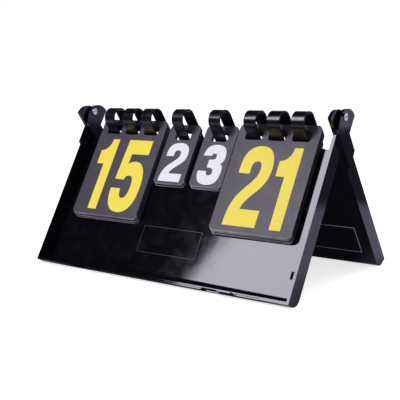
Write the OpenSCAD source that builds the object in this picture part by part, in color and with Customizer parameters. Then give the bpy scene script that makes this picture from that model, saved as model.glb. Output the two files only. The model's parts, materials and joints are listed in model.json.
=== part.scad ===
// Tabletop flip scoreboard: two hinged trays that stand as an A-frame and fold shut into a flat case.
// The frame: origin on the table under the hinge line, X along the hinge, Z up, front tray towards -Y.
// Tray coordinates: X along the hinge, y = 0 and z = 0 on the hinge line, -y down the slope, +z out of
// the open side. The two trays are one moulding, and the rear one is turned half a turn about Z.

/* [Case] */
// Width of a tray over its side walls
case_w = 380; // [340:1:440]
// Distance down the slope from the hinge line to the outside of the bottom wall
tray_l = 215.5; // [195:0.5:260]
// Depth of a tray from its rim to its back
tray_d = 20; // [18:0.5:26]
// Thickness of the side and bottom walls
wall_t = 3; // [2.5:0.1:3.6]
// Thickness of the floor
floor_t = 2.5; // [2:0.1:3.2]
// Radius of the corner that the case stands on
foot_r = 12; // [6:0.5:16]
// Depth of the flat that the round corner stands on
foot_flat = 0.3; // [0.2:0.05:0.6]
// Lean of each tray from the vertical when the case stands open
lean = 32; // [30:0.5:36]
// Space between the two floors where they meet at the top of the open case
stop_gap = 0.6; // [0.4:0.1:1.5]
// Space between the two rims when the case is shut
rim_gap = 0.5; // [0.3:0.1:1]

/* [Hinge] */
// Distance down the slope from the hinge line to the middle of an ear's round end
ear_drop = 13.5; // [8:0.5:15]
// Thickness of an ear
ear_t = 4; // [3.5:0.1:5]
// Space between an outer ear and the inner ear beside it
ear_gap = 0.3; // [0.2:0.05:0.6]
// Distance down the slope at which an ear's flare comes back to the rim
ear_neck = 22; // [20:0.5:26]
// Angle of the flare's straight edge to the tray
flare_a = 25; // [15:1:30]
// Distance down the slope at which an outer ear ends on the rim side
ear_end = 46; // [44:0.5:52]
// Extra length of an outer ear on its back side
ear_slant = 11; // [4:0.5:14]
// Radius of the hinge post
post_r = 3; // [2.5:0.1:3.5]
// Radial clearance of the post in both ears
post_clear = 0.05; // [0.03:0.01:0.1]
// Radius of the post's head and of the screw's head
head_r = 4.4; // [4:0.1:6]
// Thickness of both heads
head_t = 1.6; // [1.2:0.1:2]
// Space under both heads
head_gap = 0.1; // [0.05:0.05:0.3]
// Radius of the screw's shank, which turns into the post
screw_r = 1.6; // [1.2:0.1:1.8]

/* [Rings] */
// Width of a ring's band
ring_w = 16.5; // [12:0.5:18]
// Thickness of a ring's band
ring_t = 2; // [1.6:0.1:2.4]
// Outside radius of a ring's round top
ring_r = 13; // [12:0.5:14]
// Distance down the slope from the hinge line to the middle of a ring's round top
ring_drop = 4.8; // [3:0.1:6]
// Distance from the tray's back to the outside of the leg in the floor
ring_inset = 1.1; // [0.9:0.1:1.2]
// Depth of the notch that a ring's leg fills in the floor's top edge
notch_d = 14.5; // [13:0.5:18]
// Clearance of a ring's leg in its notch
notch_clear = 0.3; // [0.2:0.05:0.5]
// Overlap of a ring's foot on the floor beside the notch
foot_lap = 3; // [2:0.5:3.5]
// Thickness of a ring's foot
foot_t = 1.6; // [1.2:0.1:2]
// Length of a ring's foot
foot_l = 11; // [8:0.5:12]
// Outside radius of a ring's bottom corners
bend_r = 4; // [3:0.5:6]
// Distance between the rings of one large stack
ring_pitch = 32; // [28:0.5:36]

/* [Cards] */
// Width of a large card
big_w = 110; // [102:1:120]
// Height of a large card
big_h = 136; // [120:1:144]
// Width of a small card
small_w = 48; // [36:1:50]
// Height of a small card
small_h = 81; // [70:1:100]
// Distance of the large stacks from the middle of the case
big_x = 111.5; // [110:0.5:116]
// Distance of the small stacks from the middle of the case
small_x = 28.5; // [27:0.5:29]
// Thickness of a card
card_t = 0.6; // [0.4:0.05:0.7]
// Space between two cards
card_gap = 0.1; // [0.05:0.01:0.15]
// Corner radius of a card
card_r = 6; // [2:0.5:8]
// Width of a card's hole
hole_w = 24; // [20:0.5:26]
// Height of a card's hole
hole_h = 13; // [12.5:0.5:14]
// Corner radius of a card's hole
hole_r = 3.5; // [1:0.5:4]
// Strip of card above the hole
hole_top = 8; // [7.5:0.1:8.2]
// Distance from the rim to the face of the large cards shown
big_face = 8; // [7.5:0.1:8.5]
// Distance from the rim to the face of the small cards shown
small_face = 12; // [11.8:0.1:12.2]
// Distance down the slope to the top edge of the large cards shown
big_top = 7.4; // [7:0.1:7.6]
// Distance down the slope to the top edge of the small cards shown
small_top = 10; // [9.8:0.1:10.2]
// Cards behind a large card shown
big_front_n = 12; // [6:1:12]
// Cards behind a small card shown
small_front_n = 6; // [1:1:6]
// Large cards that hang turned over at the back
big_back_n = 8; // [2:1:8]
// Small cards that hang turned over at the back
small_back_n = 2; // [1:1:4]

/* [Latches] */
// Width of a latch tab
tab_w = 18; // [14:0.5:20]
// Height of a latch tab above the rim
tab_h = 4.5; // [3:0.5:6]
// Thickness of a latch tab
tab_t = 1.6; // [1.2:0.1:2]
// Distance from the outside of the bottom wall to a latch tab
tab_inset = 0.2; // [0.1:0.05:0.4]
// Clearance of a tab at each end of the other tray's recess
tab_clear = 2; // [1:0.5:3]
// Distance of the outer tab and of the outer recess from the middle
latch_out = 111; // [105:1:125]
// Distance of the inner tab and of the inner recess from the middle
latch_in = 89; // [70:1:90]
// Height of the locating lip above the rim
lip_h = 1.2; // [0.8:0.1:1.6]
// Thickness of the locating lip
lip_t = 1.2; // [0.8:0.1:1.4]
// Clearance of the lip in the other tray's groove
lip_clear = 0.3; // [0.2:0.05:0.5]
// Length of the round-bottomed pocket in the floor, down the slope
pocket_l = 9; // [6:0.5:14]
// Width of the pocket
pocket_w = 5; // [3:0.5:6]
// Depth of the pocket
pocket_d = 1.6; // [0.8:0.1:1.7]
// Distance from the side wall to the pocket
pocket_side = 9; // [3:0.5:12]
// Distance from the outside of the bottom wall to the middle of the pocket
pocket_up = 35.5; // [25:0.5:45]

/* [Hidden] */
$fn = 64;
eps = 0.01;
rim_z = -rim_gap / 2;
floor_z = floor_t - tray_d;
floor_top = (tray_d * cos(lean) + stop_gap / 2) / sin(lean);
hinge_z = (tray_l - foot_r) * cos(lean) + (tray_d - foot_r) * sin(lean) + foot_r - foot_flat;
inner_w = case_w - 2 * wall_t;
ear_r = tray_d;
outer_ear_x = case_w / 2 + ear_gap;
ring_z = ring_inset - tray_d + ring_r;
ring_end = floor_top + notch_d;
card_pitch = card_t + card_gap;
fan = card_pitch / tan(2 * lean);
back_first_z = floor_z + foot_t + card_gap;
back_top = ring_end - ring_t - card_gap - hole_top;
head_slot_w = 1.2;
head_slot_d = 0.8;
level = lean - 90;
thread_l = 3.2;
lip_outer = [latch_out + tab_w / 2 + 2 * tab_clear, case_w / 2 - 36];
lip_inner = [4, latch_in - tab_w / 2 - 2 * tab_clear];
pocket_x = inner_w / 2 - pocket_side - pocket_w / 2;
pocket_r = (pocket_w * pocket_w / 4 + pocket_d * pocket_d) / (2 * pocket_d);
big_ring_xs = [-ring_pitch, 0, ring_pitch];
ring_xs = concat([for (x = big_ring_xs) x - big_x], [-small_x, small_x], [for (x = big_ring_xs) x + big_x]);
CASE_COLOUR = "#17171A";
CARD_COLOUR = "#55545C";
BACK_COLOUR = "#4A4950";
CHROME_COLOUR = "#C9CCD0";
SHOWN_COLOUR = "#5A5850";

// Places: the two trays on the table
module on_front() {
    translate([0, 0, hinge_z]) rotate([90 - lean, 0, 0]) children();
}

module on_rear() {
    rotate([0, 0, 180]) on_front() children();
}

// Extrudes a (y, z) outline along X between two places
module along_x(x_from, x_to) {
    translate([x_from, 0, 0]) rotate([90, 0, 90]) linear_extrude(x_to - x_from) children();
}

// A rectangle with round corners that hangs from y = 0 down to y = -h
module round_rect(w, h, r) {
    translate([-w / 2 + r, -h]) square([w - 2 * r, h]);
    translate([-w / 2, -h + r]) square([w, h - 2 * r]);
    for (x = [-w / 2 + r, w / 2 - r], y = [-r, -h + r]) translate([x, y]) circle(r);
}

// What a round corner at the low end of an outline takes away
module corner_waste(y, z, r) {
    difference() {
        translate([y - 1, z - 1]) square(r + 1);
        translate([y + r, z + r]) circle(r);
    }
}

// Side outline of a tray below its ears, with the round corner that it stands on
module tray_side() {
    difference() {
        translate([-tray_l, -tray_d]) square([tray_l - ear_end, tray_d + rim_z]);
        corner_waste(-tray_l, -tray_d, foot_r);
    }
}

// Hollow of the tray, open towards the hinge
module tray_inside() {
    difference() {
        translate([wall_t - tray_l, floor_z]) square([tray_l, tray_d]);
        corner_waste(wall_t - tray_l, floor_z, foot_r - wall_t);
    }
}

// Round end and flare of an ear
module ear_head() {
    reach = 2 * ear_r;
    intersection() {
        translate([-ear_drop, 0]) circle(ear_r);
        polygon([
            [-ear_neck, -reach],
            [-ear_neck, 0],
            [-ear_neck + reach * tan(flare_a), reach],
            [reach, reach],
            [reach, -reach]
        ]);
    }
}

// Straight part of an ear, which ends at one height on the rim and at another on the back
module ear_stem(rim_end, back_end) {
    polygon([
        [-ear_drop, -tray_d],
        [-ear_drop, 0],
        [-ear_neck, 0],
        [-ear_neck - eps, rim_z],
        [-rim_end, rim_z],
        [-back_end, -tray_d]
    ]);
}

// Hole through both ears for the hinge post
module ear_hole() {
    reach = case_w + 4 * ear_t;
    translate([-reach / 2, 0, 0]) rotate([0, 90, 0]) cylinder(r = post_r + post_clear, h = reach);
}

// What the flat under the round corner takes away
module foot_waste() {
    rotate([lean - 90, 0, 0]) translate([-case_w, -tray_l, -hinge_z - foot_r]) cube([2 * case_w, tray_l, foot_r]);
}

// Latch tab on the rim of the bottom wall
module latch_tab(x) {
    translate([x - tab_w / 2, tab_inset - tray_l, rim_z - 1]) cube([tab_w, tab_t, tab_h + 1]);
}

// Recess in the outside of the bottom wall, which takes the other tray's tab
module latch_recess(x) {
    w = tab_w + 2 * tab_clear;
    depth = tab_h + rim_gap + lip_clear;
    translate([x - w / 2, -tray_l - eps, rim_z - depth]) cube([w, tab_inset + tab_t + lip_clear, depth + 1]);
}

// Locating lip along the bottom rim
module rim_lip(xs) {
    translate([-xs[1], -tray_l, rim_z - eps]) cube([xs[1] - xs[0], lip_t, lip_h + eps]);
}

// Groove that takes the other tray's lip
module rim_groove(xs) {
    c = lip_clear;
    depth = lip_h - rim_gap + c;
    translate([xs[0] - c, -tray_l - eps, rim_z - depth]) cube([xs[1] - xs[0] + 2 * c, lip_t + c, depth + 1]);
}

// One tray, lying on its back: outer ear on its left, inner ear on its right
module tray() {
    difference() {
        union() {
            difference() {
                along_x(-case_w / 2, case_w / 2) tray_side();
                along_x(-inner_w / 2, inner_w / 2) tray_inside();
            }
            translate([-case_w / 2, -ear_end - wall_t, -tray_d])
                cube([case_w, ear_end + wall_t - floor_top, floor_t]);
            along_x(case_w / 2 - ear_t, case_w / 2) {
                ear_head();
                ear_stem(ear_end + ear_t, ear_end + ear_t);
            }
            along_x(-outer_ear_x - ear_t, -outer_ear_x) {
                ear_head();
                ear_stem(ear_end, ear_end + ear_slant);
            }
            along_x(-outer_ear_x - eps, -case_w / 2 + eps) ear_pad();
            for (x = [latch_out, -latch_in]) latch_tab(x);
            for (xs = [lip_outer, lip_inner]) rim_lip(xs);
        }
        ear_hole();
        foot_waste();
        for (x = [-latch_out, latch_in]) latch_recess(x);
        for (xs = [lip_outer, lip_inner]) rim_groove(xs);
        for (x = ring_xs) ring_notch(x);
        pocket();
    }
}

// What the shallow pocket takes out of the floor
module pocket() {
    translate([pocket_x, pocket_up - tray_l + pocket_l / 2, floor_z - pocket_d + pocket_r])
        rotate([90, 0, 0]) cylinder(r = pocket_r, h = pocket_l);
}

// Pad that joins an outer ear to the side wall below the inner ear's reach
module ear_pad() {
    polygon([[-ear_end, rim_z], [-ear_end - eps, -tray_d], [-ear_end - ear_slant, -tray_d], [-ear_end - 1, rim_z]]);
}

// Notch for a ring's leg in the floor's top edge
module ring_notch(x) {
    w = ring_w + 2 * notch_clear;
    translate([x - w / 2, -ring_end, -tray_d - 1]) cube([w, ring_end, floor_t + 2]);
}

// Outline of a ring, less its band when inset
module ring_side(inset) {
    r = ring_r - inset;
    bend = bend_r - inset;
    low = inset - ring_end;
    translate([-ring_drop, ring_z]) circle(r);
    translate([low + bend, ring_z - r]) square([-ring_drop - low - bend, 2 * r]);
    translate([low, ring_z - r + bend]) square([bend + 1, 2 * (r - bend)]);
    for (z = [ring_z - r + bend, ring_z + r - bend]) translate([low + bend, z]) circle(bend);
}

// One card ring: a closed band whose front leg fills a notch of the rear tray's floor
module ring(x) {
    color(CASE_COLOUR) on_rear() {
        along_x(-x - ring_w / 2, -x + ring_w / 2) difference() {
            ring_side(0);
            ring_side(ring_t);
        }
        for (side = [-1, 1]) ring_foot(-x, side);
    }
}

// Half of a ring's foot, which lies on the floor beside the notch
module ring_foot(x, side) {
    reach = ring_w / 2 + notch_clear + foot_lap;
    x_from = side < 0 ? x - reach : x + ring_w / 2 - 1;
    translate([x_from, -ring_end + ring_t, floor_z]) cube([reach - ring_w / 2 + 1, foot_l, foot_t]);
}

// Outline of a card with its row of holes
module card_face(w, h, xs) {
    difference() {
        round_rect(w, h, card_r);
        for (x = xs) translate([x, -hole_top]) round_rect(hole_w, hole_h, hole_r);
    }
}

// Cards one behind another, each a little lower, as the ring's leg slants through them
module stack(w, h, xs, x, top, face, first, last) {
    for (i = [first:last])
        translate([x, -top - i * fan, -face - i * card_pitch - card_t]) linear_extrude(card_t) card_face(w, h, xs);
}

// The large and small cards at the front: number 0 is the one shown
module big_front(x, first, last) {
    on_front() stack(big_w, big_h, big_ring_xs, x, big_top, big_face, first, last);
}

module small_front(x, first, last) {
    on_front() stack(small_w, small_h, [0], x, small_top, small_face, first, last);
}

// Cards that are turned over, and hang at the back on the lower end of the rings
module turned(w, h, xs, x, n) {
    color(BACK_COLOUR) on_rear() for (i = [0:n - 1])
        translate([-x, -back_top, back_first_z + i * card_pitch]) linear_extrude(card_t) card_face(w, h, xs);
}

// Screwdriver slot across a head, which starts at x and turns to lie level on the open case
module head_slot(x, turn) {
    rotate([turn, 0, 0]) translate([x, -head_r - 1, -head_slot_w / 2])
        cube([head_slot_d + 1, 2 * head_r + 2, head_slot_w]);
}

// Hinge post: a slotted head outside the outer ear and a hollow shank through both ears
module hinge_post(turn) {
    out = outer_ear_x + ear_t + head_gap;
    shank = out - case_w / 2 + ear_t - head_gap;
    difference() {
        union() {
            translate([out, 0, 0]) rotate([0, 90, 0]) cylinder(r = head_r, h = head_t);
            translate([out - shank, 0, 0]) rotate([0, 90, 0]) cylinder(r = post_r, h = shank + eps);
        }
        translate([out - shank - 1, 0, 0]) rotate([0, 90, 0]) cylinder(r = screw_r + post_clear, h = thread_l + 2);
        head_slot(out + head_t - head_slot_d, turn);
    }
}

// Hinge screw: a slotted head inside the inner ear and a shank that turns into the post
module hinge_screw(turn) {
    seat = case_w / 2 - ear_t - head_gap;
    difference() {
        union() {
            translate([seat - head_t, 0, 0]) rotate([0, 90, 0]) cylinder(r = head_r, h = head_t);
            translate([seat - eps, 0, 0]) rotate([0, 90, 0]) cylinder(r = screw_r, h = thread_l);
        }
        head_slot(seat - head_t - 1, turn);
    }
}

module front_tray() { color(CASE_COLOUR) on_front() tray(); }
module rear_tray() { color(CASE_COLOUR) on_rear() tray(); }
module hinge_post_right() { color(CHROME_COLOUR) on_front() hinge_post(level); }
module hinge_post_left() { color(CHROME_COLOUR) on_front() rotate([0, 0, 180]) hinge_post(-level); }
module hinge_screw_right() { color(CHROME_COLOUR) on_front() hinge_screw(level); }
module hinge_screw_left() { color(CHROME_COLOUR) on_front() rotate([0, 0, 180]) hinge_screw(-level); }
module card_left() { color(SHOWN_COLOUR) big_front(-big_x, 0, 0); }
module card_right() { color(SHOWN_COLOUR) big_front(big_x, 0, 0); }
module card_mid_left() { color(CARD_COLOUR) small_front(-small_x, 0, 0); }
module card_mid_right() { color(CARD_COLOUR) small_front(small_x, 0, 0); }
module deck_left() { color(BACK_COLOUR) big_front(-big_x, 1, big_front_n); }
module deck_right() { color(BACK_COLOUR) big_front(big_x, 1, big_front_n); }
module deck_mid_left() { color(BACK_COLOUR) small_front(-small_x, 1, small_front_n); }
module deck_mid_right() { color(BACK_COLOUR) small_front(small_x, 1, small_front_n); }
module turned_left() { turned(big_w, big_h, big_ring_xs, -big_x, big_back_n); }
module turned_right() { turned(big_w, big_h, big_ring_xs, big_x, big_back_n); }
module turned_mid_left() { turned(small_w, small_h, [0], -small_x, small_back_n); }
module turned_mid_right() { turned(small_w, small_h, [0], small_x, small_back_n); }

front_tray();
rear_tray();
hinge_post_left();
hinge_post_right();
hinge_screw_left();
hinge_screw_right();
ring(ring_xs[0]);  // ring_1
ring(ring_xs[1]);  // ring_2
ring(ring_xs[2]);  // ring_3
ring(ring_xs[3]);  // ring_4
ring(ring_xs[4]);  // ring_5
ring(ring_xs[5]);  // ring_6
ring(ring_xs[6]);  // ring_7
ring(ring_xs[7]);  // ring_8
card_left();
card_mid_left();
card_mid_right();
card_right();
deck_left();
deck_mid_left();
deck_mid_right();
deck_right();
turned_left();
turned_mid_left();
turned_mid_right();
turned_right();
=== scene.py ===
import json
import math
import random

import bmesh
import bpy
from mathutils import Matrix, Vector
from mathutils.geometry import tessellate_polygon

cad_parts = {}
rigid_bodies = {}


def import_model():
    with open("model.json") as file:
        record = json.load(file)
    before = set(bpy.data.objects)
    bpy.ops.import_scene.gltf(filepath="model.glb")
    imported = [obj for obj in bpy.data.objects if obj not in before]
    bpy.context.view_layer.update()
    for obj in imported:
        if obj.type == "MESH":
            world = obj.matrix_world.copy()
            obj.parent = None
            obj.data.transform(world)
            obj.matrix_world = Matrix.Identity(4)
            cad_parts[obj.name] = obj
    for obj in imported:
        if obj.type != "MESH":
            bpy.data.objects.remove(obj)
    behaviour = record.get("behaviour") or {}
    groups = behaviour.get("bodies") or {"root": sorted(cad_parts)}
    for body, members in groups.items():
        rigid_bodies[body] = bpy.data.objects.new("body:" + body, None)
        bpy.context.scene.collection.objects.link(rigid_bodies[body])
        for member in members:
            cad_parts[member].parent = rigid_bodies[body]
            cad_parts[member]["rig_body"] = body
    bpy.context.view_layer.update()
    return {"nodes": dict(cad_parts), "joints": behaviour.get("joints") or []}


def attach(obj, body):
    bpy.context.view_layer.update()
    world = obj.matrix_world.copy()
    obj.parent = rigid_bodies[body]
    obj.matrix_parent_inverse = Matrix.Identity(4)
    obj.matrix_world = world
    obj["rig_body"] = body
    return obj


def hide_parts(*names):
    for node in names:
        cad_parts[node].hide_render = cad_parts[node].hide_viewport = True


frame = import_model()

# The tabletop flip scoreboard's looks: moulded case, card rings, printed number cards, hinge hardware.
# Sizes are in millimetres and points on a tray are (across, down, out): across the tray to the right,
# down its slope from the hinge line, and out of its open side from the rim.

MM = 0.001
fold = next(joint for joint in frame["joints"] if joint["name"] == "case_fold")
HINGE_Z = fold["pos_m"][2]
# Shut, each tray has turned by its own lean less than a half turn
LEAN = math.radians((360 - fold["range_deg"][1]) / 2)
FRONT = Matrix.Translation((0, 0, HINGE_Z)) @ Matrix.Rotation(math.pi / 2 - LEAN, 4, "X")
REAR = Matrix.Rotation(math.pi, 4, "Z") @ FRONT
# How far out from the rim a tray's floor has its inner and its outer face
FLOOR_OUT = -17.5
BACK_OUT = -20


def at(tray, across, down, out):
    """A point on a tray in metres, in the frame's own axes"""
    return tray @ Vector((across * MM, -down * MM, out * MM))


def points_of(node, tray):
    """A part's points as (across, down, out) on a tray, in millimetres"""
    back = tray.inverted()
    points = [back @ v.co / MM for v in frame["nodes"][node].data.vertices]
    return [(p.x, -p.y, p.z) for p in points]


def reach(node, tray):
    """The lowest and highest (across, down, out) of a part, in millimetres"""
    columns = list(zip(*points_of(node, tray)))
    return [min(column) for column in columns], [max(column) for column in columns]


# Colours and textures

def colour(code):
    """An sRGB hex colour as linear red, green, blue and alpha"""
    parts = [int(code[i:i + 2], 16) / 255 for i in (1, 3, 5)]
    return [p / 12.92 if p < 0.04045 else ((p + 0.055) / 1.055) ** 2.4 for p in parts] + [1]


def every(size):
    """Texture scale whose features are this many millimetres apart"""
    return 1 / (size * MM)


def put(tree, kind, sockets=None, **settings):
    """Adds a node, sets its properties, and fills its sockets with values or links"""
    node = tree.nodes.new(kind)
    for name, value in settings.items():
        setattr(node, name, value)
    for name, value in (sockets or {}).items():
        socket = node.inputs[name]
        if isinstance(value, bpy.types.NodeSocket):
            tree.links.new(value, socket)
        else:
            socket.default_value = value
    return node


def finish_of(name):
    """A new material, with its node tree and its surface shader"""
    material = bpy.data.materials.new(name)
    material.use_nodes = True
    return material, material.node_tree, material.node_tree.nodes["Principled BSDF"]


def moulded_abs(name, base, gloss, handling):
    """ABS moulded against a polished steel mould: a deep black with a clear, slightly wavy shine.
    Handling leaves faint smears that dull the shine, and fine straight scratches."""
    material, tree, surface = finish_of(name)
    place = put(tree, "ShaderNodeTexCoord").outputs["Object"]
    # Smears are as wide as a fingertip, about 14 mm
    smears = put(tree, "ShaderNodeTexNoise", {"Vector": place, "Scale": every(14), "Detail": 5.0,
                                              "Roughness": 0.62, "Distortion": 0.6}).outputs["Fac"]
    # Scratches are drawn 2.5 mm apart and 40 mm long, coarser than real ones, so that they show
    along = put(tree, "ShaderNodeMapping", {"Vector": place, "Rotation": (0.5, 0.2, 0.7),
                                            "Scale": (every(40), every(2.5), every(2.5))})
    lines = put(tree, "ShaderNodeTexNoise", {"Vector": along.outputs["Vector"], "Scale": 1.0,
                                             "Detail": 2.0, "Roughness": 0.8}).outputs["Fac"]
    worn = put(tree, "ShaderNodeMapRange", {"Value": lines, "From Min": 0.66, "From Max": 0.74,
                                            "To Min": 0.0, "To Max": handling}).outputs["Result"]
    dull = put(tree, "ShaderNodeMapRange", {"Value": smears, "From Min": 0.42, "From Max": 0.7,
                                            "To Min": gloss, "To Max": gloss + handling}).outputs["Result"]
    rough = put(tree, "ShaderNodeMath", {0: dull, 1: worn}, operation="ADD").outputs["Value"]
    tree.links.new(rough, surface.inputs["Roughness"])
    # Plastic shrinks as it cools, which leaves shallow waves about 35 mm long in the flat walls
    waves = put(tree, "ShaderNodeTexNoise", {"Vector": place, "Scale": every(35), "Detail": 1.0})
    sunk = put(tree, "ShaderNodeBump", {"Height": waves.outputs["Fac"], "Strength": 0.25,
                                        "Distance": 0.35 * MM})
    # The mould's own polish leaves a very fine grain, drawn at 0.7 mm
    grain = put(tree, "ShaderNodeTexNoise", {"Vector": place, "Scale": every(0.7), "Detail": 2.0})
    fine = put(tree, "ShaderNodeBump", {"Height": grain.outputs["Fac"], "Strength": 0.06,
                                        "Distance": 0.04 * MM, "Normal": sunk.outputs["Normal"]})
    tree.links.new(fine.outputs["Normal"], surface.inputs["Normal"])
    # Dust is a shade paler than the plastic and gathers in patches
    dusty = put(tree, "ShaderNodeMapRange", {"Value": smears, "From Min": 0.5, "From Max": 0.8})
    tint = put(tree, "ShaderNodeMix", {"Factor": dusty.outputs["Result"], "A": colour(base),
                                       "B": colour("#17171B")}, data_type="RGBA")
    tree.links.new(tint.outputs[2], surface.inputs["Base Color"])
    surface.inputs["IOR"].default_value = 1.54
    # The black has a violet cast where it shines
    surface.inputs["Specular Tint"].default_value = colour("#EFEBFF")
    return material


def calendered_pvc(name, base, worn):
    """PVC sheet rolled with a fine matt face: a soft grey sheen that turns pale towards the light.
    Its print side is lightly mottled, and turning the cards rubs small pale marks into it."""
    material, tree, surface = finish_of(name)
    place = put(tree, "ShaderNodeTexCoord").outputs["Object"]
    # The matt face's grain is about 0.1 mm, drawn at 0.9 mm so that it shows
    grain = put(tree, "ShaderNodeTexNoise", {"Vector": place, "Scale": every(0.9), "Detail": 3.0})
    # Patches where the cards rub on each other are about 25 mm across
    rubbed = put(tree, "ShaderNodeTexNoise", {"Vector": place, "Scale": every(25), "Detail": 6.0,
                                              "Roughness": 0.7})
    patch = put(tree, "ShaderNodeMapRange", {"Value": rubbed.outputs["Fac"], "From Min": 0.35,
                                             "From Max": 0.75}).outputs["Result"]
    tint = put(tree, "ShaderNodeMix", {"Factor": patch, "A": colour(base), "B": colour(worn)},
               data_type="RGBA")
    tree.links.new(tint.outputs[2], surface.inputs["Base Color"])
    rough = put(tree, "ShaderNodeMapRange", {"Value": patch, "To Min": 0.46, "To Max": 0.4})
    tree.links.new(rough.outputs["Result"], surface.inputs["Roughness"])
    bump = put(tree, "ShaderNodeBump", {"Height": grain.outputs["Fac"], "Strength": 0.12,
                                        "Distance": 0.05 * MM})
    tree.links.new(bump.outputs["Normal"], surface.inputs["Normal"])
    surface.inputs["IOR"].default_value = 1.53
    surface.inputs["Specular Tint"].default_value = colour("#F1EAFF")
    return material


def screen_ink(name, base, thin):
    """Screen-printed ink: an even, opaque colour with the mesh's faint mottle and a low satin shine"""
    material, tree, surface = finish_of(name)
    place = put(tree, "ShaderNodeTexCoord").outputs["Object"]
    # The screen's mesh has about 0.2 mm threads, and its mottle is drawn at 1.5 mm
    mottle = put(tree, "ShaderNodeTexNoise", {"Vector": place, "Scale": every(1.5), "Detail": 4.0})
    share = put(tree, "ShaderNodeMapRange", {"Value": mottle.outputs["Fac"], "From Min": 0.45,
                                             "From Max": 0.8}).outputs["Result"]
    tint = put(tree, "ShaderNodeMix", {"Factor": share, "A": colour(base), "B": colour(thin)},
               data_type="RGBA")
    tree.links.new(tint.outputs[2], surface.inputs["Base Color"])
    rough = put(tree, "ShaderNodeMapRange", {"Value": mottle.outputs["Fac"], "To Min": 0.42,
                                             "To Max": 0.55})
    tree.links.new(rough.outputs["Result"], surface.inputs["Roughness"])
    bump = put(tree, "ShaderNodeBump", {"Height": mottle.outputs["Fac"], "Strength": 0.1,
                                        "Distance": 0.03 * MM})
    tree.links.new(bump.outputs["Normal"], surface.inputs["Normal"])
    surface.inputs["IOR"].default_value = 1.49
    surface.inputs["Specular Tint"].default_value = colour("#F1EAFF")
    return material


def chromed_steel(name):
    """Turned steel, nickel and chrome plated: mirror bright, with the lathe's fine rings under it"""
    material, tree, surface = finish_of(name)
    place = put(tree, "ShaderNodeTexCoord").outputs["Object"]
    # Turning marks are drawn 0.69 mm apart along the post, coarser than real ones, so that they show.
    # At a scale of 1 the wave texture repeats 20 times in 2 pi metres.
    turned = put(tree, "ShaderNodeTexWave", {"Vector": place, "Scale": every(0.6909) * 2 * math.pi / 20,
                                             "Distortion": 0.4}, bands_direction="X")
    # The plate's haze is about 4 mm wide
    haze = put(tree, "ShaderNodeTexNoise", {"Vector": place, "Scale": every(4), "Detail": 4.0})
    rough = put(tree, "ShaderNodeMapRange", {"Value": haze.outputs["Fac"], "To Min": 0.06,
                                             "To Max": 0.16})
    tree.links.new(rough.outputs["Result"], surface.inputs["Roughness"])
    bump = put(tree, "ShaderNodeBump", {"Height": turned.outputs["Fac"], "Strength": 0.12,
                                        "Distance": 0.03 * MM})
    tree.links.new(bump.outputs["Normal"], surface.inputs["Normal"])
    tint = put(tree, "ShaderNodeMix", {"Factor": haze.outputs["Fac"], "A": colour("#D6D8DC"),
                                       "B": colour("#F0F1F4")}, data_type="RGBA")
    tree.links.new(tint.outputs[2], surface.inputs["Base Color"])
    surface.inputs["Metallic"].default_value = 1.0
    return material


CASE = moulded_abs("black_moulded_abs", "#0B0A10", 0.07, 0.04)
RING = moulded_abs("black_moulded_abs_ring", "#0F0E14", 0.18, 0.08)
# Painted highlight: the raised line is a paler grey than the case, for light catching its edges
PAINTED_HIGHLIGHT_LINE = moulded_abs("raised_line_abs_painted_highlight", "#26262E", 0.3, 0.1)
SHEET = calendered_pvc("matt_pvc_sheet", "#3A3743", "#43404D")
# Painted highlight: the pale finish of the cards' lower edges, where light catches them
EDGE = calendered_pvc("pvc_edge_painted_highlight", "#8F8B98", "#E2DEEA")
# Painted shade: a dark sheet for the stacked cards' face borders and inner edges, where the cards shade
# each other
PAINTED_SHADE_SHEET = calendered_pvc("pvc_sheet_painted_shade", "#1B1A1F", "#242328")
YELLOW = screen_ink("yellow_screen_ink", "#F6E046", "#F2DA3C")
WHITE = screen_ink("white_screen_ink", "#ECE9F5", "#DFDCE8")
PALE = screen_ink("pale_grey_pad_ink", "#D4D1E0", "#C2BFCE")
CHROME = chromed_steel("chromed_turned_steel")


# Pieces that take the place of a CAD part

# Degrees between two faces from which their edge is sharp in the shading, and from which it is rounded
SHARP_EDGE = 32
ROUNDED_EDGE = 28


def new_piece(name, bm, materials):
    """A mesh object from a bmesh, with its flat faces flat and its round ones smooth"""
    mesh = bpy.data.meshes.new(name)
    bm.to_mesh(mesh)
    bm.free()
    for material in materials:
        mesh.materials.append(material)
    mesh.shade_smooth()
    mesh.set_sharp_from_angle(angle=math.radians(SHARP_EDGE))
    piece = bpy.data.objects.new(name, mesh)
    bpy.context.scene.collection.objects.link(piece)
    # Large faces set the shading at the soft edges between them
    piece.modifiers.new("even_shading", "WEIGHTED_NORMAL").keep_sharp = True
    return piece


def body_of(node):
    """The CAD body that a part belongs to"""
    return frame["nodes"][node]["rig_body"]


def clean_copy(node):
    """A part's mesh as a bmesh with whole flat faces: welded, with the triangles' seams dissolved"""
    bm = bmesh.new()
    bm.from_mesh(frame["nodes"][node].data)
    bmesh.ops.remove_doubles(bm, verts=bm.verts, dist=0.015 * MM)
    bmesh.ops.dissolve_limit(bm, angle_limit=math.radians(0.5), verts=bm.verts, edges=bm.edges)
    return bm


def soften(bm, width, segments):
    """Rounds the edges, as a mould or a cutter leaves them"""
    edges = [e for e in bm.edges if len(e.link_faces) == 2
             and e.calc_face_angle(0) > math.radians(ROUNDED_EDGE)]
    bmesh.ops.bevel(bm, geom=edges, offset=width * MM, offset_type="OFFSET", segments=segments,
                    profile=0.5, affect="EDGES", clamp_overlap=True, loop_slide=True)


def softened(node, width, segments, material):
    """A part with softened edges, in place of its sharp CAD solid"""
    bm = clean_copy(node)
    soften(bm, width, segments)
    piece = new_piece(node + "_moulded", bm, [material])
    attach(piece, body_of(node))
    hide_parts(node)


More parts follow.
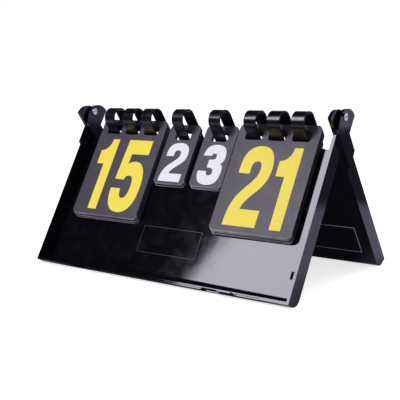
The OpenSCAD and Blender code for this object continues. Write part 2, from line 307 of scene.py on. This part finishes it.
for side in ("front", "rear"):
    softened(side + "_tray", 0.35, 2, CASE)
for i in range(1, 9):
    softened(f"ring_{i}", 0.4, 3, RING)
for part in ("post", "screw"):
    for side in ("left", "right"):
        softened(f"hinge_{part}_{side}", 0.25, 2, CHROME)


# Cards

# Cosine of the angle from straight out beyond which a face is a card's edge, not its front or back
EDGE_COSINE = 0.8
# A card's edges are painted pale, a painted highlight, up to this far above the lowest point of its stack
PAINTED_HIGHLIGHT_END = 14
# A painted highlight also covers a rim this wide on the face beside the lower edges, and painted shade a
# border this wide all round inside it
PAINTED_HIGHLIGHT_RIM = 0.3
PAINTED_SHADE_BORDER = 1.6
# Real sheet thickness, and the distance between two sheets that cling together
SHEET_T = 0.36
CLING_PITCH = 0.378
# Share of the distance between two CAD cards that a card fills
CAD_SHARE = 6 / 7
# Most that a bunch of cards swings in degrees, hangs off its place and waves out of its plane
SWING = 0.3
DROP = 0.4
BOW = 0.22
# Distance across the cards in which the wave goes through one radian
WAVE = 16
# Parts that a card is cut into down and across the tray, so that it can bow
DOWN_PARTS = 12
ACROSS_PARTS = 8


def paint_card_light_and_shade(bm, tray, border=0):
    """Gives the cards' lower edges, and a hair of their faces beside them, a paler finish, a painted
    highlight where the edges catch the light.
    A stack that is leafed through also has a border of painted shade inside that."""
    out = tray.to_3x3() @ Vector((0, 0, 1))
    down = tray.to_3x3() @ Vector((0, -1, 0))
    low_end = max(v.co.dot(down) for v in bm.verts) - PAINTED_HIGHLIGHT_END * MM
    for face in bm.faces:
        low = face.calc_center_median().dot(down) > low_end
        face.material_index = 1 if low and abs(face.normal.dot(out)) < EDGE_COSINE else 0
    shown = [face for face in bm.faces if face.normal.dot(out) > EDGE_COSINE]
    for width, index in ((PAINTED_HIGHLIGHT_RIM, 1), (border, 2)):
        if width:
            ring = bmesh.ops.inset_region(bm, faces=shown, thickness=width * MM, use_even_offset=True,
                                          use_boundary=True)["faces"]
            for face in ring:
                if index == 2 or face.calc_center_median().dot(down) > low_end:
                    face.material_index = index


def shown_card(name):
    """One card, with softened edges and its lower edges painted pale, a painted highlight"""
    node = "card_" + name
    bm = clean_copy(node)
    bm.normal_update()
    paint_card_light_and_shade(bm, FRONT)
    soften(bm, 0.12, 1)
    piece = new_piece(node + "_sheet", bm, [SHEET, EDGE])
    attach(piece, body_of(node))
    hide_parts(node)


def islands(bm):
    """The separate cards of a stack, as lists of vertices"""
    left = set(bm.verts)
    found = []
    while left:
        group, todo = [], [left.pop()]
        while todo:
            vert = todo.pop()
            group.append(vert)
            for edge in vert.link_edges:
                other = edge.other_vert(vert)
                if other in left:
                    left.remove(other)
                    todo.append(other)
        found.append(group)
    return found


def shade_card(verts):
    """Paints shade on the edges of a card inside a bunch, where the cards beside it shade it"""
    for vert in verts:
        for face in vert.link_faces:
            if face.material_index == 1:
                face.material_index = 2


def bunch_sizes(total, chance):
    """How many cards cling together in each bunch of a stack, two to four but for the last"""
    sizes = []
    while sum(sizes) < total:
        sizes.append(min(chance.choice((2, 3, 3, 4)), total - sum(sizes)))
    return sizes


def loose_stack(node, tray, seed):
    """A stack whose cards lie in small bunches, a little askew and bowed, as hanging cards do.
    The outermost card stays straight, because its number is printed on it."""
    chance = random.Random(seed)
    bm = clean_copy(node)
    bm.normal_update()
    paint_card_light_and_shade(bm, tray, PAINTED_SHADE_BORDER)
    back = tray.inverted()
    down = tray.to_3x3() @ Vector((0, -1, 0))
    across = tray.to_3x3() @ Vector((1, 0, 0))
    low, high = reach(node, tray)
    for step in range(1, DOWN_PARTS):
        place = low[1] + (high[1] - low[1]) * step / DOWN_PARTS
        geom = bm.verts[:] + bm.edges[:] + bm.faces[:]
        bmesh.ops.bisect_plane(bm, geom=geom, plane_co=at(tray, 0, place, 0), plane_no=down)
    for step in range(1, ACROSS_PARTS):
        place = low[0] + (high[0] - low[0]) * step / ACROSS_PARTS
        geom = bm.verts[:] + bm.edges[:] + bm.faces[:]
        bmesh.ops.bisect_plane(bm, geom=geom, plane_co=at(tray, place, 0, 0), plane_no=across)
    cards = sorted(islands(bm), key=lambda verts: -max((back @ v.co).z for v in verts))
    middles = [sum((back @ v.co).z for v in verts) / len(verts) for verts in cards]
    middle = (low[0] + high[0]) / 2 * MM
    sizes = bunch_sizes(len(cards) - 1, chance)
    pitch = middles[0] - middles[1]
    # Each card of the CAD stack hangs lower than the one outside it, and a bunch hangs level
    fan = pitch / math.tan(2 * LEAN) if tray is FRONT else 0
    i = 0
    for count in sizes:
        centre = sum(middles[i + 1:i + 1 + count]) / count
        swing = math.radians(chance.uniform(-SWING, SWING))
        drop = chance.uniform(-DROP, DROP) * MM
        bow = chance.uniform(0.3, 1.0) * BOW * MM
        phase = chance.uniform(0, 2 * math.pi)
        for k in range(count):
            i += 1
            # Cards behind the first of a bunch get painted shade on their edges
            if k:
                shade_card(cards[i])
            pressed = centre + ((count - 1) / 2 - k) * CLING_PITCH * MM
            level = k * fan
            for vert in cards[i]:
                p = back @ vert.co
                share = (-p.y / MM - low[1]) / (high[1] - low[1])
                hang = p.y + low[1] * MM
                loose = middles[i] * (1 - share) + pressed * share
                p.z = loose + (p.z - middles[i]) * SHEET_T * MM / (pitch * CAD_SHARE)
                p.z += bow * share * math.sin(phase + (p.x - middle) / (WAVE * MM))
                p.x, p.y = p.x - hang * swing, p.y + (p.x - middle) * swing + (level - drop) * share
                vert.co = tray @ p
    piece = new_piece(node + "_sheets", bm, [SHEET, EDGE, PAINTED_SHADE_SHEET])
    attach(piece, body_of(node))
    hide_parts(node)


for n, name in enumerate(("left", "mid_left", "mid_right", "right")):
    shown_card(name)
    loose_stack("deck_" + name, FRONT, 40 + n)
    loose_stack("turned_" + name, REAR, 60 + n)


# Numbers, in a bold narrow face. Outlines are in hundredths of a digit's height from its foot:
# two numbers are a point on a line, and six are a curve with its two handles and its end.
DIGITS = {
    "1": [[(12.3, 0), (27, 0), (27, 100), (15.6, 100), (15.6, 90.6, 9, 83, 0.6, 83), (0.6, 64),
           (12.3, 64)]],
    "2": [[(0, 0), (44.5, 0), (44.8, 20.8), (17.5, 20.8), (19.5, 31, 28, 38, 35, 46),
           (41, 53, 45, 60, 45, 72), (45, 90, 38, 100.5, 23.7, 100.5), (9, 100.5, 1.2, 91, 1.2, 73),
           (1.2, 65), (16.5, 65), (16.5, 71), (16.5, 77.5, 18.5, 81, 23.5, 81),
           (28, 81, 29.7, 77.5, 29.7, 72), (29.7, 62, 25, 57.5, 15.8, 47), (5, 35, 0, 24, 0, 0)]],
    "3": [[(2.2, 72), (2.5, 90, 9, 100.5, 23, 100.5), (39, 100.5, 45, 90, 45, 70),
           (45, 61, 43, 56, 38.8, 53.2), (43, 50.5, 45, 46, 45, 34), (45, 10, 38, -0.5, 22, -0.5),
           (7, -0.5, 0, 11, 0, 33.5), (16.6, 33.5), (16.6, 26, 18.5, 23, 22.5, 23),
           (26.5, 23, 28.4, 26, 28.4, 32), (28.4, 39, 26, 42.3, 20, 42.3), (15.3, 42.3),
           (15.3, 62.6), (20.5, 62.6), (25.5, 62.6, 27.9, 65, 27.9, 71),
           (27.9, 76, 26.5, 78.4, 22.8, 78.4), (19.5, 78.4, 18.4, 76, 18.4, 72)]],
    "4": [[(26, 0), (41, 0), (41, 19), (47, 19), (47, 35), (41, 35), (41, 100), (22, 100), (0, 37),
           (0, 19), (26, 19)], [(26, 35), (26, 74), (13, 35)]],
    "5": [[(4.3, 100), (44.2, 100), (44.2, 80), (16, 80), (15.5, 65.5), (19, 68.8, 23, 69.8, 27, 69.8),
           (40, 69.8, 48, 58, 48, 34), (48, 12, 39, -1, 24, -1), (9, -1, 0, 8, 0, 31.5), (16.2, 31.5),
           (16.5, 23, 19, 18.5, 23.6, 18.5), (29, 18.5, 31.8, 25, 31.8, 35),
           (31.8, 45, 29.5, 49.8, 24, 49.8), (19.5, 49.8, 17.5, 47.5, 17, 44), (1.6, 44)]],
    "6": [[(43.5, 69), (43.5, 90, 38, 100.5, 22.5, 100.5), (6, 100.5, 0, 89, 0, 66), (0, 34),
           (0, 10, 7, -1, 23, -1), (38, -1, 45, 10, 45, 32), (45, 52, 38, 62, 27, 62),
           (21, 62, 17.5, 60, 15.5, 56.5), (15.5, 70), (15.5, 78, 17.5, 82, 22, 82),
           (26.5, 82, 28.3, 78, 28.3, 69)],
          [(22.3, 47), (27.5, 47, 29, 43, 29, 33), (29, 22, 27.5, 17.5, 22.5, 17.5),
           (17.3, 17.5, 15.5, 22, 15.5, 33), (15.5, 43, 17.3, 47, 22.3, 47)]],
}
CURVE_STEPS = 10
# Thickness of the ink
INK = 0.06
# A number's height, how far its digits are widened, and its distance from the card's lower edge
LARGE_NUMBER = (99.5, 1, 7.5)
SMALL_NUMBER = (52.5, 1.45, 3)
# Where each digit starts, across from the card's middle
STARTS = {"15": (-43, -2.6), "16": (-42, -0.8), "21": (-38.6, 12.3), "22": (-47.5, 3),
          "2": (-17.1,), "3": (-17.1,), "4": (-17.9,)}
# The number shown on each stack, and the next one
SCORE = {"left": ("15", "16"), "mid_left": ("2", "3"), "mid_right": ("3", "4"), "right": ("21", "22")}


def traced(path):
    """The points of an outline, with its curves in short steps"""
    points = []
    for part in path:
        if len(part) == 6:
            a, b, c, d = points[-1], Vector(part[0:2]), Vector(part[2:4]), Vector(part[4:6])
            for step in range(1, CURVE_STEPS + 1):
                t = step / CURVE_STEPS
                u = 1 - t
                points.append(u ** 3 * a + 3 * u * u * t * b + 3 * u * t * t * c + t ** 3 * d)
        else:
            points.append(Vector(part))
    if (points[-1] - points[0]).length < 0.01:
        points.pop()
    return points


def slab(bm, loops, place, thickness):
    """A thin flat solid with these outlines; place turns (right, up, height) into a point"""
    flat = [[Vector((p.x, p.y, 0)) for p in loop] for loop in loops]
    points = [p for loop in loops for p in loop]
    foot = [bm.verts.new(place(p.x, p.y, 0)) for p in points]
    top = [bm.verts.new(place(p.x, p.y, thickness)) for p in points]
    for a, b, c in tessellate_polygon(flat):
        bm.faces.new((top[a], top[b], top[c]))
        bm.faces.new((foot[c], foot[b], foot[a]))
    start = 0
    for loop in loops:
        for i in range(len(loop)):
            a, b = start + i, start + (i + 1) % len(loop)
            bm.faces.new((foot[a], foot[b], top[b], top[a]))
        start += len(loop)


def card_bottom(node, tray, face_out):
    """How far down the slope the card with this face ends"""
    return max(down for across, down, out in points_of(node, tray) if abs(out - face_out) < 0.05)


def number(name, node, text, tray, face_out, back=False):
    """A number printed on a card's face, or on its back, where it reads from behind"""
    large = "mid" not in node
    low, high = reach(node, tray)
    middle = (low[0] + high[0]) / 2
    bottom = card_bottom(node, tray, face_out)
    height, widen, foot = LARGE_NUMBER if large else SMALL_NUMBER
    side = -1 if back else 1
    bm = bmesh.new()
    for digit, left in zip(text, STARTS[text]):
        loops = [traced(path) for path in DIGITS[digit]]

        def place(x, y, up, left=left):
            across = middle + side * (left + x * widen * height / 100)
            return at(tray, across, bottom - foot - y * height / 100, face_out + side * up)

        slab(bm, loops, place, INK)
    bmesh.ops.recalc_face_normals(bm, faces=bm.faces)
    piece = new_piece(name, bm, [YELLOW if large else WHITE])
    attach(piece, body_of(node))


for name, (now, then) in SCORE.items():
    low, high = reach("card_" + name, FRONT)
    number(f"number_{name}", "card_" + name, now, FRONT, high[2])
    number(f"number_{name}_back", "card_" + name, then, FRONT, low[2], back=True)
    deck = reach("deck_" + name, FRONT)[1][2]
    number(f"next_number_{name}", "deck_" + name, then, FRONT, deck)
    last = reach("turned_" + name, REAR)[1][2]
    number(f"number_turned_{name}", "turned_" + name, now, REAR, last)


# Thin rectangles on the trays, bare inside

# Left, right, top and bottom of each rectangle, across and down its tray
FRONT_BOX = (-45.6, 43.4, 146, 180)
REAR_BOX = (-175, -68, 147.8, 188.4)


def label_line(name, node, tray, box, out, rise, width, material):
    """A rectangle drawn by a thin line that stands a little proud of the tray"""
    left, right, top, bottom = box
    outside = [(left, top), (right, top), (right, bottom), (left, bottom)]
    left, right, top, bottom = left + width, right - width, top + width, bottom - width
    inside = [(left, top), (left, bottom), (right, bottom), (right, top)]
    loops = [[Vector(p) for p in loop] for loop in (outside, inside)]
    bm = bmesh.new()
    slab(bm, loops, lambda x, y, up: at(tray, x, y, out + up), rise)
    bmesh.ops.recalc_face_normals(bm, faces=bm.faces)
    piece = new_piece(name, bm, [material])
    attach(piece, body_of(node))


label_line("front_label_line", "front_tray", FRONT, FRONT_BOX, FLOOR_OUT,
           rise=0.15, width=0.5, material=PAINTED_HIGHLIGHT_LINE)
label_line("rear_label_line", "rear_tray", REAR, REAR_BOX, BACK_OUT,
           rise=-INK, width=0.8, material=PALE)


# The view: where the photograph was taken from, fitted to the corners of the two trays

EYE = Vector((606.46, -792.84, 252.87)) * MM
AZIMUTH = math.radians(37.757)
PITCH = math.radians(9.761)
ROLL = math.radians(-1.632)
FOCAL_PIXELS = 809.15
PHOTO_PIXELS = 400
SENSOR = 36

# The way it looks, along the table
BEHIND = Vector((-math.sin(AZIMUTH), math.cos(AZIMUTH), 0))

ahead = BEHIND * math.cos(PITCH) - Vector((0, 0, math.sin(PITCH)))
level = Vector((math.cos(AZIMUTH), math.sin(AZIMUTH), 0))
upright = level.cross(ahead)
right = level * math.cos(ROLL) + upright * math.sin(ROLL)
up = upright * math.cos(ROLL) - level * math.sin(ROLL)
camera = bpy.data.objects.new("camera", bpy.data.cameras.new("camera"))
camera.data.sensor_width = SENSOR
camera.data.lens = FOCAL_PIXELS / PHOTO_PIXELS * SENSOR
camera.data.clip_start = 0.01
camera.matrix_world = Matrix.Translation(EYE) @ Matrix((right, up, -ahead)).transposed().to_4x4()
bpy.context.scene.collection.objects.link(camera)
bpy.context.scene.camera = camera


# The studio: a white table that runs into a white wall, a dark ceiling and soft lamps

# Light that falls on the object from all round, and the table's own glow before the camera, against white
AMBIENT = 0.48
TABLE_GLOW = 0.72
# The wall as reflections see it: the sine of the height where it ends and the dark ceiling starts, the
# cosine of the angle from straight behind where its sides end, and how bright the dark beyond them is
WALL_TOP = (0.26, 0.55)
CEILING = 0.02
WALL_SIDES = (0.5, 0.8)
ROOM = 0.03
# The table as reflections see it is a glow, a painted pool of light: how bright it is, and how far from
# the middle of the case, in metres, it starts and ends. Nearer it is painted shade for the case's shadow,
# and beyond it the table is dim.
PAPER = 0.8
PAPER_START = (0.18, 0.26)
PAPER_END = (0.56, 0.65)
PAINTED_SHADE_NEAR_CASE = 0.06
DIM = 0.12


def lamp(name, place, target, size, power, tint="#FFFFFF"):
    """A soft rectangular lamp that faces a point; its place and size are in metres, its power in watts"""
    light = bpy.data.lights.new(name, "AREA")
    light.shape = "RECTANGLE"
    light.size, light.size_y = size
    light.energy = power
    light.color = colour(tint)[:3]
    holder = bpy.data.objects.new(name, light)
    holder.location = place
    holder.visible_camera = False
    holder.rotation_euler = (Vector(target) - Vector(place)).to_track_quat("-Z", "Y").to_euler()
    bpy.context.scene.collection.objects.link(holder)


def white_studio():
    """The room: white wherever the camera looks, a wall behind the object that its shiny faces mirror,
    and an even light from all round"""
    world = bpy.data.worlds.new("white_studio")
    bpy.context.scene.world = world
    world.use_nodes = True
    tree = world.node_tree
    tree.nodes.clear()
    rays = put(tree, "ShaderNodeLightPath").outputs
    sky = put(tree, "ShaderNodeTexCoord").outputs["Generated"]
    height = put(tree, "ShaderNodeSeparateXYZ", {"Vector": sky}).outputs["Z"]
    below = put(tree, "ShaderNodeMapRange", {"Value": height, "From Min": WALL_TOP[0],
                                             "From Max": WALL_TOP[1], "To Min": 1.0,
                                             "To Max": CEILING}).outputs["Result"]
    facing = put(tree, "ShaderNodeVectorMath", {0: sky, 1: BEHIND},
                 operation="DOT_PRODUCT").outputs["Value"]
    between = put(tree, "ShaderNodeMapRange", {"Value": facing, "From Min": WALL_SIDES[0],
                                               "From Max": WALL_SIDES[1],
                                               "To Min": ROOM}).outputs["Result"]
    wall = put(tree, "ShaderNodeMath", {0: below, 1: between}, operation="MULTIPLY").outputs["Value"]
    mirrored = put(tree, "ShaderNodeMath", {0: rays["Is Glossy Ray"], 1: rays["Is Transmission Ray"]},
                   operation="MAXIMUM").outputs["Value"]
    even = put(tree, "ShaderNodeMath", {0: mirrored, 1: wall}, operation="MULTIPLY").outputs["Value"]
    seen = put(tree, "ShaderNodeMath", {0: even, 1: rays["Is Camera Ray"]},
               operation="MAXIMUM").outputs["Value"]
    other = put(tree, "ShaderNodeMath", {0: 1.0, 1: mirrored}, operation="SUBTRACT").outputs["Value"]
    ambient = put(tree, "ShaderNodeMath", {0: other, 1: AMBIENT}, operation="MULTIPLY").outputs["Value"]
    strength = put(tree, "ShaderNodeMath", {0: seen, 1: ambient}, operation="MAXIMUM").outputs["Value"]
    background = put(tree, "ShaderNodeBackground", {"Color": (1, 1, 1, 1), "Strength": strength})
    output = put(tree, "ShaderNodeOutputWorld")
    tree.links.new(background.outputs["Background"], output.inputs["Surface"])


def table_top():
    """A white table, which the camera sees as white but for the object's soft shadow.
    In the object's shiny faces only a glow shows, a painted pool of light on the paper with painted shade
    near the case."""
    bm = bmesh.new()
    bmesh.ops.create_grid(bm, x_segments=8, y_segments=8, size=6)
    material, tree, surface = finish_of("white_paper_sweep")
    surface.inputs["Base Color"].default_value = colour("#F4F4F6")
    surface.inputs["Roughness"].default_value = 0.9
    rays = put(tree, "ShaderNodeLightPath").outputs
    place = put(tree, "ShaderNodeTexCoord").outputs["Object"]
    far = put(tree, "ShaderNodeVectorMath", {0: place}, operation="LENGTH").outputs["Value"]
    start = put(tree, "ShaderNodeMapRange", {"Value": far, "From Min": PAPER_START[0],
                                             "From Max": PAPER_START[1],
                                             "To Min": PAINTED_SHADE_NEAR_CASE}).outputs["Result"]
    end = put(tree, "ShaderNodeMapRange", {"Value": far, "From Min": PAPER_END[0],
                                           "From Max": PAPER_END[1], "To Min": 1.0,
                                           "To Max": DIM}).outputs["Result"]
    painted_pool = put(tree, "ShaderNodeMath", {0: start, 1: end}, operation="MULTIPLY").outputs["Value"]
    paper = put(tree, "ShaderNodeMath", {0: painted_pool, 1: PAPER}, operation="MULTIPLY").outputs["Value"]
    mirrored = put(tree, "ShaderNodeMath", {0: rays["Is Glossy Ray"], 1: rays["Is Transmission Ray"]},
                   operation="MAXIMUM").outputs["Value"]
    # Reflections see this glow, a painted pool of light, in place of the table's own shading
    reflected = put(tree, "ShaderNodeEmission", {"Color": colour("#E9E2FF"), "Strength": paper})
    seen = put(tree, "ShaderNodeMath", {0: rays["Is Camera Ray"], 1: TABLE_GLOW},
               operation="MULTIPLY").outputs["Value"]
    glow = put(tree, "ShaderNodeEmission", {"Color": (1, 1, 1, 1), "Strength": seen})
    both = put(tree, "ShaderNodeAddShader", {0: surface.outputs["BSDF"], 1: glow.outputs["Emission"]})
    mix = put(tree, "ShaderNodeMixShader", {0: mirrored, 1: both.outputs["Shader"],
                                            2: reflected.outputs["Emission"]})
    tree.links.new(mix.outputs["Shader"], tree.nodes["Material Output"].inputs["Surface"])
    table = new_piece("table_top", bm, [material])


white_studio()
table_top()
# The softbox mirrors in the front tray's floor, right of a line 60 mm from the middle
lamp("softbox", (-0.468, -0.809, 0.944), (0.238, -0.061, 0.149), (0.355, 0.7), 8, "#FFFFFB")
# The back lamp stands above and behind the object, and lights the rings' tops and the rear tray
lamp("back_lamp", (0.3, 0.9, 1.3), (0, 0, 0.1), (1.0, 0.6), 8)
# A small card of light, which mirrors in the hinge screws' flat heads
lamp("hinge_card", (0.677, 0.886, 0.12), (0, 0, 0.19), (0.1, 0.06), 0.015, "#E4DEFF")

bpy.context.scene.view_settings.view_transform = "Standard"
